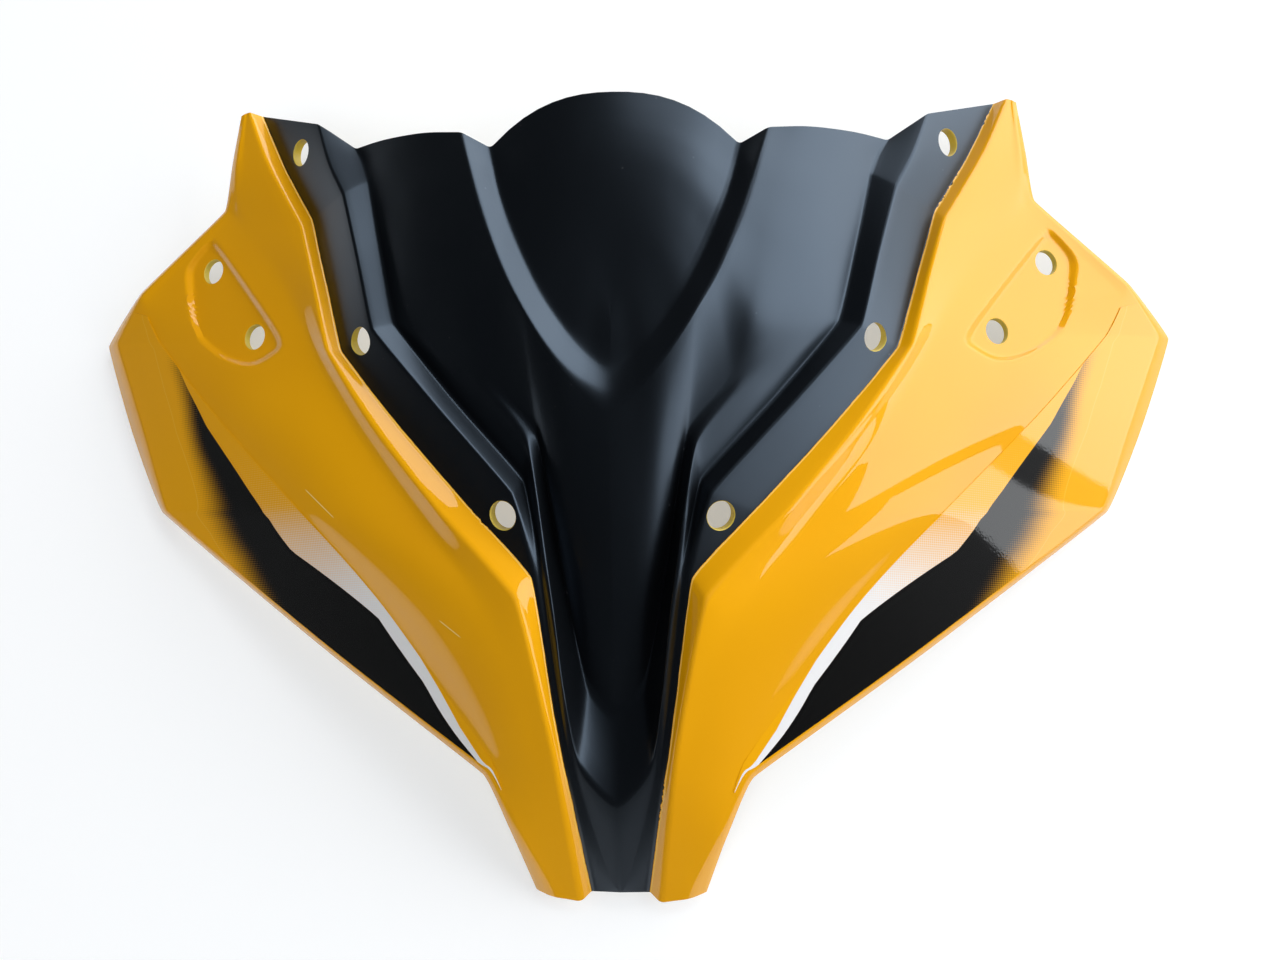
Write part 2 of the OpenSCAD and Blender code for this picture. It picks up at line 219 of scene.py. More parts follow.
def skinRow(spec, station):
    ends = [followLine(name, station) for name in lineNames]
    lengths = [max((b - a).length, spec["tooSmall"]) for a, b in zip(ends, ends[1:])]
    fold = [0] * len(ends)
    for i in range(1, len(ends) - 1):
        fold[i] = min(stationValue(spec["rounding"][lineNames[i]], station),
                      spec["foldShare"] * lengths[i - 1], spec["foldShare"] * lengths[i])
    row = []
    for kind, strip, t in spec["columns"]:
        if kind == "flat":
            low, high = fold[strip] / lengths[strip], 1 - fold[strip + 1] / lengths[strip]
            row.append(stripPoint(ends, station, strip, low + t * (high - low)))
        else:
            a = stripPoint(ends, station, strip - 1, 1 - fold[strip] / lengths[strip - 1])
            b = stripPoint(ends, station, strip, fold[strip] / lengths[strip])
            row.append((1 - t) ** 2 * a + 2 * t * (1 - t) * ends[strip] + t * t * b)
    return row


def wallAt(spec, point):
    extra = 0
    for x, y, reach, more in spec["thicker"]:
        gap = math.hypot(abs(point.x) - x, point.y - y)
        extra = max(extra, more * max(0, min(1, 1 + (reach - gap) / spec["fadeWidth"])))
    return spec["wall"] + extra


def inwardAt(spec, point):
    acrossRadius, alongRadius = spec["leanRadius"]
    return Vector((point.x / acrossRadius, min(point.y, 0) / alongRadius, 1)).normalized()


shell["columns"] = skinColumns(shell)
shell["rows"] = (shell["stations"] - 1) * shell["rowsPerStation"]
skinRows = [skinRow(shell, i / shell["rowsPerStation"]) for i in range(shell["rows"] + 1)]
paintColumn = shell["columns"].index(("fold", lineNames.index("paintLine"), 0)) + shell["roundCells"] // 2
print("skin rows are worked out")


# Length along a row from the border between black and yellow, below zero on the black side.
def paintLengths(row):
    lengths = [0]
    for a, b in zip(row, row[1:]):
        lengths.append(lengths[-1] + (b - a).length)
    return [length - lengths[paintColumn] for length in lengths]


paintRows = [paintLengths(row) for row in skinRows]


def layGrid(bm, rows, uvRows):
    down, across = len(rows) - 1, len(rows[0]) - 1
    bmesh.ops.create_grid(bm, x_segments=across, y_segments=down, size=0.5, calc_uvs=True)
    uvLayer = bm.loops.layers.uv.verify()
    places = {}
    for v in bm.verts:
        places[v] = (round((0.5 - v.co.y) * down), round((v.co.x + 0.5) * across))
    for face in bm.faces:
        for loop in face.loops:
            i, c = places[loop.vert]
            loop[uvLayer].uv = (i / down, uvRows[i][c] / uvUnit)
    for v, (i, c) in places.items():
        v.co = rows[i][c]


def turnUp(bm):
    bmesh.ops.recalc_face_normals(bm, faces=bm.faces)
    if sum(f.normal.z * f.calc_area() for f in bm.faces) < 0:
        bmesh.ops.reverse_faces(bm, faces=bm.faces)


def buildSkin(spec):
    bm = bmesh.new()
    layGrid(bm, skinRows, paintRows)
    bmesh.ops.mirror(bm, geom=bm.verts[:] + bm.edges[:] + bm.faces[:], axis="X",
                     merge_dist=spec["mergeWithin"])
    bmesh.ops.dissolve_degenerate(bm, dist=spec["tooSmall"], edges=bm.edges)
    turnUp(bm)
    bm.normal_update()
    outer = bm.verts[:]
    outerFaces = bm.faces[:]
    uvLayer = bm.loops.layers.uv.verify()
    for f in outerFaces:
        side = sum(loop[uvLayer].uv.y for loop in f.loops)
        f.material_index = 1 if side > 0 else 0
    rim = [e for e in bm.edges if e.is_boundary]
    copied = bmesh.ops.duplicate(bm, geom=bm.verts[:] + bm.edges[:] + bm.faces[:])
    twin = copied["vert_map"]
    innerFaces = [g for g in copied["geom"] if isinstance(g, bmesh.types.BMFace)]
    bmesh.ops.reverse_faces(bm, faces=innerFaces)
    for f in innerFaces:
        f.material_index = 2
    for v in outer:
        way = inwardAt(spec, v.co)
        twin[v].co = v.co - way * wallAt(spec, v.co) / max(spec["steepest"], way.dot(v.normal))
    for edge in rim:
        a, b = edge.verts
        beside = edge.link_faces[0]
        uvs = {loop.vert: loop[uvLayer].uv.copy() for loop in beside.loops}
        side = bm.faces.new((b, a, twin[a], twin[b]))
        side.material_index = beside.material_index
        for loop in side.loops:
            loop[uvLayer].uv = uvs[a] if loop.vert in (a, twin[a]) else uvs[b]
    bmesh.ops.recalc_face_normals(bm, faces=bm.faces)
    sinkPads(bm, outerFaces, pads)
    finishPlace(bm, spec["move"])
    piece = newPiece("fairingShell", bm)
    piece.data.uv_layers[0].name = "paint"
    return piece


# Mirror pads are sunk into each wing, with a soft wall all round.
pads = {
    "outline": [(206, 126), (184, 98), (164, 72), (162, 66), (165, 63), (178, 57.5), (194, 63), (204, 70),
                (211, 76), (215, 83), (218, 92), (220, 103), (221.5, 113), (218, 118.5), (213, 123),
                (210, 126)],
    "rise": 128.05,
    "slope": (-0.437, 0.02),
    "depth": 2.5,
    "wallWidth": 3.2,
    "wallStart": 0.35,  # share of the wall that lies outside the outline
    "acrossRange": (140, 240),  # the pad lies between these
    "alongRange": (40, 140),
    "fineWithin": 4.5,  # faces this close to the outline are made finer
    "fineCuts": 2,
    "cornerRounds": 2,
    "facingUp": 0.5,  # points of the inner face stay where they are
    "holes": [(206, 110.7), (178.3, 73)],
    "holeRadius": 6.1,
    "plate": 3,
}


def roundCorners(outline, rounds):
    for _ in range(rounds):
        pairs = [(Vector(a), Vector(b)) for a, b in zip(outline, outline[1:] + outline[:1])]
        outline = [tuple(a.lerp(b, t)) for a, b in pairs for t in (0.25, 0.75)]
    return outline


def signedGap(point, outline):
    inside, least = False, 1e9
    for a, b in zip(outline, outline[1:] + outline[:1]):
        edge = Vector(b) - Vector(a)
        t = max(0, min(1, (point - Vector(a)).dot(edge) / edge.length_squared))
        least = min(least, (point - Vector(a) - t * edge).length)
        if (a[1] > point.y) != (b[1] > point.y) and point.x < a[0] + (point.y - a[1]) / edge.y * edge.x:
            inside = not inside
    return least if inside else -least


def padAxis(spec):
    slopeX, slopeY = spec["slope"]
    return Vector((-slopeX, -slopeY, 1)).normalized()


def padFloor(spec, x, y):  # height of the sunk floor, which is one plane
    slopeX, slopeY = spec["slope"]
    return spec["rise"] + slopeX * x + slopeY * y - spec["depth"] / padAxis(spec).z


def sinkPads(bm, outerFaces, spec):
    outline = roundCorners(spec["outline"], spec["cornerRounds"])

    def gapAt(co):
        return signedGap(Vector((abs(co.x), co.y)), outline)

    fromX, toX = spec["acrossRange"]
    fromY, toY = spec["alongRange"]
    near = [f for f in outerFaces if f.is_valid and fromX < abs(f.calc_center_median().x) < toX
            and abs(gapAt(f.calc_center_median())) < spec["fineWithin"]]
    edges = list({e for f in near for e in f.edges})
    bmesh.ops.subdivide_edges(bm, edges=edges, cuts=spec["fineCuts"], use_grid_fill=True)
    bm.normal_update()
    for v in bm.verts:
        if not (fromX < abs(v.co.x) < toX and fromY < v.co.y < toY and v.normal.z > spec["facingUp"]):
            continue
        t = max(0, min(1, gapAt(v.co) / spec["wallWidth"] + spec["wallStart"]))
        if t == 0:
            continue
        blend = t * t * (3 - 2 * t)
        v.co.z += blend * (padFloor(spec, abs(v.co.x), v.co.y) - v.co.z)


# Through holes, each with a spot face behind it: place and axis of each screw hole, in millimetres.
holes = {
    "screws": [((155.6, 161.4, 63.7), (0.631, -0.1, 0.769)), ((117.1, 61.5, 79.7), (0.549, -0.295, 0.782)),
               ((47.4, -20.8, 89.5), (0.382, -0.345, 0.857))],
    "screwRadius": 6.35,
    "screwWall": 4,
    "faceRadius": 8,
    "chamfer": 0.35,
    "spare": 0.2,  # how far the chamfer's cone starts inside the hole
    "reach": 9,
    "coneReach": 5,
    "faceReach": 12,
    "sides": 64,
}


def finishPlace(bm, move):
    bmesh.ops.translate(bm, verts=bm.verts, vec=Vector(move))
    bmesh.ops.scale(bm, verts=bm.verts, vec=(mm, mm, mm))


def newPiece(name, bm):
    for f in bm.faces:
        f.smooth = True
    mesh = bpy.data.meshes.new(name)
    bm.to_mesh(mesh)
    bm.free()
    piece = bpy.data.objects.new(name, mesh)
    bpy.context.scene.collection.objects.link(piece)
    return piece


# Bore, chamfer and spot face of one hole: lower and upper radius, lowest and highest point.
def cutterShapes(spec, radius, wall):
    spare, cone, face = spec["spare"], spec["coneReach"], spec["faceRadius"]
    return [(radius, radius, -spec["reach"], spec["reach"]),
            (radius - spare, radius + cone, -spec["chamfer"] - spare, cone),
            (face, face, -wall - spec["faceReach"], -wall)]


def buildCutters():
    cutters = []
    sinks = [((x, y, padFloor(pads, x, y)), padAxis(pads), pads["holeRadius"], pads["plate"])
             for x, y in pads["holes"]]
    sinks += [(place, axis, holes["screwRadius"], holes["screwWall"]) for place, axis in holes["screws"]]
    for place, axis, radius, wall in sinks:
        turn = Vector(axis).to_track_quat("Z", "Y").to_matrix().to_4x4()
        for side in (1, -1):
            for low, high, start, end in cutterShapes(holes, radius, wall):
                bm = bmesh.new()
                middle = Matrix.Translation((0, 0, (start + end) / 2))
                matrix = Matrix.Translation(Vector(place)) @ turn @ middle
                bmesh.ops.create_cone(bm, cap_ends=True, segments=holes["sides"], radius1=low, radius2=high,
                                      depth=end - start, matrix=matrix)
                if side < 0:
                    bmesh.ops.scale(bm, verts=bm.verts, vec=(-1, 1, 1))
                    bmesh.ops.reverse_faces(bm, faces=bm.faces)
                finishPlace(bm, shell["move"])
                cutters.append(newPiece("cutter", bm))
    return cutters


def cutHoles(piece, cutters):
    cutSet = bpy.data.collections.new("cutters")
    bpy.context.scene.collection.children.link(cutSet)
    for cutter in cutters:
        cutSet.objects.link(cutter)
        cutter.data.materials.append(barePlastic)
    cut = piece.modifiers.new("holes", "BOOLEAN")
    cut.operand_type = "COLLECTION"
    cut.collection = cutSet
    cut.solver = "EXACT"
    cut.use_self = False
    cut.material_mode = "TRANSFER"
    bpy.context.view_layer.update()
    done = bpy.data.meshes.new_from_object(piece.evaluated_get(bpy.context.evaluated_depsgraph_get()))
    piece.modifiers.clear()
    piece.data = done
    for cutter in cutters:
        bpy.data.objects.remove(cutter)
    bpy.data.collections.remove(cutSet)
    done.set_sharp_from_angle(angle=sharpAngle)


def newMaterial(name):
    material = bpy.data.materials.new(name)
    material.use_nodes = True
    return material, material.node_tree, material.node_tree.nodes["Principled BSDF"]


paints = {
    "yellow": (0.86, 0.388, 0.001, 1),
    "yellowDeep": (0.81, 0.357, 0.001, 1),
    # painted highlight: the pale colour of the line along the masked border, where the paint edge would
    # catch the light
    "edge": (0.95, 0.62, 0.16, 1),
    "black": (0.0016, 0.0016, 0.0019, 1),
    "bare": (0.66, 0.50, 0.07, 1),
    "bareDeep": (0.56, 0.40, 0.04, 1),
    "print": (0.002, 0.0018, 0.0016, 1),
    "stripe": (0.84, 0.82, 0.81, 1),
    "clearLine": (0.9, 0.5, 0.06, 1),
    "dust": (0.3, 0.3, 0.3, 1),
    "scratch": (0.95, 0.8, 0.35, 1),
    # painted reflection: a sky blue tint put on the reflections of the black paint
    "paintedSkyTint": (0.62, 0.79, 1, 1),
}


noiseSpan = (0.3, 0.7)  # most of a noise texture lies between these


def objectCoords(tree):
    return tree.nodes.new("ShaderNodeTexCoord").outputs["Object"]


def uvCoords(tree, name):
    uvMap = tree.nodes.new("ShaderNodeUVMap")
    uvMap.uv_map = name
    return uvMap.outputs["UV"]


def splitVector(tree, vector):
    split = tree.nodes.new("ShaderNodeSeparateXYZ")
    tree.links.new(vector, split.inputs[0])
    return split.outputs


def noiseNode(tree, vector, scale, detail, roughness=0.5):
    noise = tree.nodes.new("ShaderNodeTexNoise")
    noise.inputs["Scale"].default_value = scale
    noise.inputs["Detail"].default_value = detail
    noise.inputs["Roughness"].default_value = roughness
    tree.links.new(vector, noise.inputs["Vector"])
    return noise.outputs["Fac"]


def rangeNode(tree, value, low, high, outLow=0, outHigh=1, smooth=True):
    node = tree.nodes.new("ShaderNodeMapRange")
    node.interpolation_type = "SMOOTHSTEP" if smooth else "LINEAR"
    node.inputs["From Min"].default_value = low
    node.inputs["From Max"].default_value = high
    node.inputs["To Min"].default_value = outLow
    node.inputs["To Max"].default_value = outHigh
    tree.links.new(value, node.inputs["Value"])
    return node.outputs["Result"]


def mixColors(tree, factor, a, b):
    mix = tree.nodes.new("ShaderNodeMix")
    mix.data_type = "RGBA"
    for socket, value in ((mix.inputs[0], factor), (mix.inputs[6], a), (mix.inputs[7], b)):
        if isinstance(value, (tuple, float, int)):
            socket.default_value = value
        else:
            tree.links.new(value, socket)
    return mix.outputs[2]


def mathNode(tree, operation, a, b=0.0):
    node = tree.nodes.new("ShaderNodeMath")
    node.operation = operation
    for socket, value in ((node.inputs[0], a), (node.inputs[1], b)):
        if isinstance(value, (float, int)):
            socket.default_value = value
        else:
            tree.links.new(value, socket)
    return node.outputs[0]


# The masked border: lengths in units of the paint map, noise as scale and detail.
maskEdge = {
    "wander": 0.0012,
    "wanderNoise": (60, 1),
    "teeth": 0.0006,
    "teethNoise": (420, 3),
    "torn": 0.006,
    "tornNoise": (26, 1),
    "tornFrom": (0.62, 0.7),
    "blur": 0.0007,
    # painted highlight: a pale line beside the border, where the rounded paint edge would catch the light
    "paintedHighlightAt": 0.0055,  # a pale line runs beside the border
    "paintedHighlightCore": 0.002,
    "paintedHighlightEnd": 0.0045,
}


# Shared effect: where the yellow starts along the masked border, with a few torn spots, and a painted
# highlight line beside it.
def maskedBorder():
    group = bpy.data.node_groups.new("maskedBorder", "ShaderNodeTree")
    group.interface.new_socket("Torn", in_out="INPUT", socket_type="NodeSocketFloat")
    group.interface.new_socket("Yellow", in_out="OUTPUT", socket_type="NodeSocketFloat")
    group.interface.new_socket("Bright", in_out="OUTPUT", socket_type="NodeSocketFloat")
    start = group.nodes.new("NodeGroupInput")
    end = group.nodes.new("NodeGroupOutput")
    coords = objectCoords(group)
    fromBorder = splitVector(group, uvCoords(group, "paint"))["Y"]
    teeth, torn, waves = [noiseNode(group, coords, *maskEdge[name])
                          for name in ("teethNoise", "tornNoise", "wanderNoise")]
    tooth = rangeNode(group, teeth, *noiseSpan, -1, 1, False)
    spots = rangeNode(group, torn, *maskEdge["tornFrom"])
    wander = rangeNode(group, waves, *noiseSpan, -maskEdge["wander"], maskEdge["wander"], False)
    torn = mathNode(group, "MULTIPLY", mathNode(group, "MULTIPLY", tooth, spots), start.outputs["Torn"])
    fine = mathNode(group, "MULTIPLY", tooth, maskEdge["teeth"])
    edge = mathNode(group, "ADD", mathNode(group, "ADD", fromBorder, wander),
                    mathNode(group, "ADD", torn, fine))
    group.links.new(rangeNode(group, edge, -maskEdge["blur"], maskEdge["blur"]), end.inputs["Yellow"])
    # painted highlight: a pale band a little way onto the yellow side of the border
    beside = mathNode(group, "ABSOLUTE", mathNode(group, "SUBTRACT", edge, maskEdge["paintedHighlightAt"]))
    paintedHighlight = rangeNode(group, beside, maskEdge["paintedHighlightCore"], maskEdge["paintedHighlightEnd"], 1, 0)
    group.links.new(paintedHighlight, end.inputs["Bright"])
    return group


# Dust specks and rubbed areas: noise as scale, detail and roughness.
wear = {
    "speckScale": 70,
    "speckSize": (0.02, 0.045),
    "rubNoise": (14, 4, 0.65),
    "rubRange": (0.35, 0.75),
}


# Shared effect: a little dust and fine handling marks, as two masks.
def handlingMarks():
    group = bpy.data.node_groups.new("handlingMarks", "ShaderNodeTree")
    group.interface.new_socket("Stretch", in_out="INPUT", socket_type="NodeSocketVector")
    group.interface.new_socket("Dust", in_out="OUTPUT", socket_type="NodeSocketFloat")
    group.interface.new_socket("Marks", in_out="OUTPUT", socket_type="NodeSocketFloat")
    start = group.nodes.new("NodeGroupInput")
    end = group.nodes.new("NodeGroupOutput")
    coords = objectCoords(group)
    specks = group.nodes.new("ShaderNodeTexVoronoi")
    specks.inputs["Scale"].default_value = wear["speckScale"]
    group.links.new(coords, specks.inputs["Vector"])
    dust = rangeNode(group, specks.outputs["Distance"], *wear["speckSize"], 1, 0)
    group.links.new(dust, end.inputs["Dust"])
    mapping = group.nodes.new("ShaderNodeMapping")
    group.links.new(coords, mapping.inputs["Vector"])
    group.links.new(start.outputs["Stretch"], mapping.inputs["Scale"])
    rub = noiseNode(group, mapping.outputs["Vector"], *wear["rubNoise"])
    group.links.new(rangeNode(group, rub, *wear["rubRange"]), end.inputs["Marks"])
    return group


def useGroup(tree, group, **values):
    node = tree.nodes.new("ShaderNodeGroup")
    node.node_tree = group
    for name, value in values.items():
        node.inputs[name].default_value = value
    return node


def bumpNode(tree, height, strength, distance):
    bump = tree.nodes.new("ShaderNodeBump")
    bump.inputs["Strength"].default_value = strength
    bump.inputs["Distance"].default_value = distance
    tree.links.new(height, bump.inputs["Height"])
    return bump.outputs["Normal"]


borderEffect = maskedBorder()
marksEffect = handlingMarks()


# Thin scratches in the clear coat of the left wing: both ends in metres, seen from above.
scratches = {
    "lines": [((-0.1460, -0.0010), (-0.1313, -0.0143)), ((-0.0782, -0.0623), (-0.0687, -0.0694))],
    "width": 0.00035,
    "endFade": 0.001,
}


def scratchMask(tree, coords):
    split = splitVector(tree, coords)
    x, y = split["X"], split["Y"]
    total = None
    for (x0, y0), (x1, y1) in scratches["lines"]:
        length = math.hypot(x1 - x0, y1 - y0)
        dirX, dirY = (x1 - x0) / length, (y1 - y0) / length
        fromX, fromY = mathNode(tree, "SUBTRACT", x, x0), mathNode(tree, "SUBTRACT", y, y0)
        along = mathNode(tree, "ADD", mathNode(tree, "MULTIPLY", fromX, dirX),
                         mathNode(tree, "MULTIPLY", fromY, dirY))
        across = mathNode(tree, "SUBTRACT", mathNode(tree, "MULTIPLY", fromX, dirY),
                          mathNode(tree, "MULTIPLY", fromY, dirX))
        near = rangeNode(tree, mathNode(tree, "ABSOLUTE", across), 0, scratches["width"], 1, 0)
        fromMiddle = mathNode(tree, "ABSOLUTE", mathNode(tree, "SUBTRACT", along, length / 2))
        inside = rangeNode(tree, fromMiddle, length / 2 - scratches["endFade"],
                           length / 2 + scratches["endFade"], 1, 0)
        line = mathNode(tree, "MULTIPLY", near, inside)
        total = line if total is None else mathNode(tree, "MAXIMUM", total, line)
    return total


# The three finishes of the skin: noise as scale and detail, bumps as strength and height in metres.
blackFinish = {
    "roughness": (0.33, 0.38),
    "specular": 1,
    "dust": 0.1,
    "rub": (1, 0.25, 1),
    "grain": (1500, 3),
    "grainBump": (0.12, 0.0001),
}


def satinBlack(spec):
    material, tree, shader = newMaterial("satinBlackPaint")
    coords = objectCoords(tree)
    border = useGroup(tree, borderEffect, Torn=maskEdge["torn"])
    marks = useGroup(tree, marksEffect, Stretch=spec["rub"])
    dust = mathNode(tree, "MULTIPLY", marks.outputs["Dust"], spec["dust"])
    dusty = mixColors(tree, dust, paints["black"], paints["dust"])
    colour = mixColors(tree, border.outputs["Yellow"], dusty, paints["yellow"])
    tree.links.new(colour, shader.inputs["Base Color"])
    roughness = rangeNode(tree, marks.outputs["Marks"], 0, 1, *spec["roughness"])
    tree.links.new(roughness, shader.inputs["Roughness"])
    shader.inputs["Specular IOR Level"].default_value = spec["specular"]
    # painted reflection: the black's reflections are tinted sky blue
    shader.inputs["Specular Tint"].default_value = paints["paintedSkyTint"]
    grain = noiseNode(tree, coords, *spec["grain"])
    tree.links.new(bumpNode(tree, grain, *spec["grainBump"]), shader.inputs["Normal"])
    return material


yellowFinish = {
    "roughness": (0.42, 0.52),
    "specular": 0.08,
    "coat": (0.1, 1),
    "coatRoughness": 0.025,
    "rub": (1, 1, 1),
    "tone": (9, 2),
    "scratch": 0.75,
    # strength of the painted highlight along the masked border
    "paintedHighlightShare": 0.6,
    "peel": (130, 1),
    "peelBump": (0.05, 0.0002),
}


def glossYellow(spec):
    material, tree, shader = newMaterial("glossYellowPaint")
    coords = objectCoords(tree)
    border = useGroup(tree, borderEffect, Torn=maskEdge["torn"])
    marks = useGroup(tree, marksEffect, Stretch=spec["rub"])
    tone = rangeNode(tree, noiseNode(tree, coords, *spec["tone"]), *noiseSpan)
    yellow = mixColors(tree, tone, paints["yellow"], paints["yellowDeep"])
    scratch = mathNode(tree, "MULTIPLY", scratchMask(tree, coords), spec["scratch"])
    scratched = mixColors(tree, scratch, yellow, paints["scratch"])
    # painted highlight along the masked border, where the paint edge would catch the light
    paintedHighlight = mathNode(tree, "MULTIPLY", border.outputs["Bright"], spec["paintedHighlightShare"])
    withPaintedHighlight = mixColors(tree, paintedHighlight, scratched, paints["edge"])
    colour = mixColors(tree, border.outputs["Yellow"], paints["black"], withPaintedHighlight)
    tree.links.new(colour, shader.inputs["Base Color"])
    roughness = rangeNode(tree, marks.outputs["Marks"], 0, 1, *spec["roughness"])
    tree.links.new(roughness, shader.inputs["Roughness"])
    coat = rangeNode(tree, border.outputs["Yellow"], 0, 1, *spec["coat"])
    tree.links.new(coat, shader.inputs["Coat Weight"])
    shader.inputs["Specular IOR Level"].default_value = spec["specular"]
    shader.inputs["Coat Roughness"].default_value = spec["coatRoughness"]
    peel = noiseNode(tree, coords, *spec["peel"])
    tree.links.new(bumpNode(tree, peel, *spec["peelBump"]), shader.inputs["Normal"])
    return material


bareFinish = {
    "roughness": (0.4, 0.55),
    "rub": (0.5, 1, 1),
    "tone": (22, 3),
    "grain": (700, 2),
    "grainBump": (0.15, 0.0001),
}


def bareYellow(spec):
    material, tree, shader = newMaterial("bareYellowPlastic")
    coords = objectCoords(tree)
    marks = useGroup(tree, marksEffect, Stretch=spec["rub"])
    tone = rangeNode(tree, noiseNode(tree, coords, *spec["tone"]), *noiseSpan)
    tree.links.new(mixColors(tree, tone, paints["bare"], paints["bareDeep"]), shader.inputs["Base Color"])
    roughness = rangeNode(tree, marks.outputs["Marks"], 0, 1, *spec["roughness"])
    tree.links.new(roughness, shader.inputs["Roughness"])
    grain = noiseNode(tree, coords, *spec["grain"])
    tree.links.new(bumpNode(tree, grain, *spec["grainBump"]), shader.inputs["Normal"])
    return material


barePlastic = bareYellow(bareFinish)
fairing = buildSkin(shell)
for finish in (satinBlack(blackFinish), glossYellow(yellowFinish), barePlastic):
    fairing.data.materials.append(finish)
cutHoles(fairing, buildCutters())
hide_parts("fairing")
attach(fairing, "root")
print("skin is built", len(fairing.data.polygons), "faces")

# The printed film of each wing: a clear border, a pale stripe and a black field that fades out in dots.
# Each table gives a station and, there, a share of the way across the film, a strength of ink or, for
# stripeFrom, the millimetres from the inner edge to the stripe.
film = {
    "from": 3.35,
    "to": 8.5,
    "rows": 120,
    "columns": 26,
    "gap": 0.04,
    "thick": 0.3,
    "taper": [(7.9, 1), (8.5, 0.35)],
    "blackEdge": [(3.3, 0), (4.5, 0), (4.7, 0.08), (5.1, 0.18), (5.66, 0.24), (6.2, 0.27), (6.5, 0.35),
                  (7.04, 0.165), (7.4, 0.27), (7.64, 0.56), (7.85, 0.78), (8, 1.1)],
    "blackFull": [(4.2, -0.2), (4.83, 0.12), (5, 0.2), (5.3, 0.31), (5.6, 0.37), (6.2, 0.48), (6.5, 0.62),
                  (6.7, 0.8), (6.9, 1), (7.2, 1.4)],
    "blackGone": [(4.2, 0.15), (4.64, 0.32), (5, 0.5), (5.3, 0.62), (5.6, 0.7), (6.2, 0.82), (6.5, 1.03),
                  (6.7, 1.26), (6.9, 1.6), (7.2, 2.2)],
    "blackInk": [(4, 0), (4.5, 0.6), (5.2, 1)],
    "stripeFrom": [(7.3, 0.9), (7.47, 2.6), (7.64, 5), (7.87, 5.2), (8.2, 2), (8.5, 0.8)],
    "stripeInk": [(5.2, 0.1), (5.8, 0.2), (6.2, 0.34), (6.6, 0.55), (6.95, 0.8), (7.3, 1)],
    "clearEdge": [(3.3, 0.35), (3.6, 0.22), (4.22, 0.2), (4.67, 0.41), (5.1, 0.55), (5.44, 0.62), (6, 0.74),
                  (6.3, 0.82), (6.55, 0.98), (6.7, 1.2)],
    "dotPitch": 1,
    "dotRange": (0.36, 0.64),
    "dotBlur": 0.36,
    "edgeBlur": 0.001,  # in units of the film's maps, as is the clear line
    "clearLine": (0.0015, 0.004),
    "clearLineInk": 0.5,
    "roughness": 0.4,
    "specular": 0.1,
    "coatRoughness": 0.03,
    "ripple": (900, 1),
    "rippleBump": (0.06, 0.0001),
    "foldSpare": 0.4,  # the film ends this far short of the rounded fold
    "mostSpare": 0.42,
}


def tableAt(table, x):
    if x <= table[0][0]:
        return table[0][1]
    for (x0, y0), (x1, y1) in zip(table, table[1:]):
        if x <= x1:
            return y0 + (y1 - y0) * (x - x0) / (x1 - x0)
    return table[-1][1]


filmStrip = lineNames.index("filmLine")
filmMaps = ("print", "stripe", "clearEdge")


def buildFilm(spec, name, side):
    bm = bmesh.new()
    bmesh.ops.create_grid(bm, x_segments=spec["columns"], y_segments=spec["rows"], size=0.5)
    layers = [bm.loops.layers.uv.new(layerName) for layerName in filmMaps]
    ink = {}
    for v in bm.verts:
        station = spec["from"] + (0.5 - v.co.y) * (spec["to"] - spec["from"])
        across = v.co.x + 0.5
        ends = [followLine(n, station) for n in lineNames]
        width = (ends[filmStrip + 1] - ends[filmStrip]).length
        margin = stationValue(shell["rounding"]["lipLine"], station) + spec["foldSpare"]
        across *= (1 - min(margin / width, spec["mostSpare"])) * tableAt(spec["taper"], station)
        v.co = stripPoint(ends, station, filmStrip, across)
        gap = (across - tableAt(spec["blackEdge"], station)) * width
        full, gone = tableAt(spec["blackFull"], station), tableAt(spec["blackGone"], station)
        black = max(0, min(1, (gone - across) / (gone - full))) * tableAt(spec["blackInk"], station)
        fromClear = (across - tableAt(spec["clearEdge"], station)) * width
        border = across * width - tableAt(spec["stripeFrom"], station)
        ink[v] = [(gap / uvUnit, black), (border / uvUnit, tableAt(spec["stripeInk"], station)),
                  (fromClear / uvUnit, 0)]
    for face in bm.faces:
        for loop in face.loops:
            for layer, uv in zip(layers, ink[loop.vert]):
                loop[layer].uv = uv
    turnUp(bm)
    bm.normal_update()
    for v in bm.verts:
        v.co += v.normal * (spec["gap"] + spec["thick"])
    bmesh.ops.solidify(bm, geom=bm.faces, thickness=spec["thick"])
    if side < 0:
        bmesh.ops.scale(bm, verts=bm.verts, vec=(-1, 1, 1))
    bmesh.ops.recalc_face_normals(bm, faces=bm.faces)
    finishPlace(bm, shell["move"])
    piece = newPiece(name, bm)
    piece.data.set_sharp_from_angle(angle=sharpAngle)
    return piece


def dotScreen(tree, coords, spec):  # rows of printing dots, each darkest in its middle
    split = splitVector(tree, coords)
    waves = []
    for axis in ("X", "Y"):
        turn = mathNode(tree, "MULTIPLY", split[axis], 2 * math.pi / (spec["dotPitch"] * mm))
        waves.append(mathNode(tree, "COSINE", turn))
    return rangeNode(tree, mathNode(tree, "ADD", *waves), -2, 2, *spec["dotRange"], False)


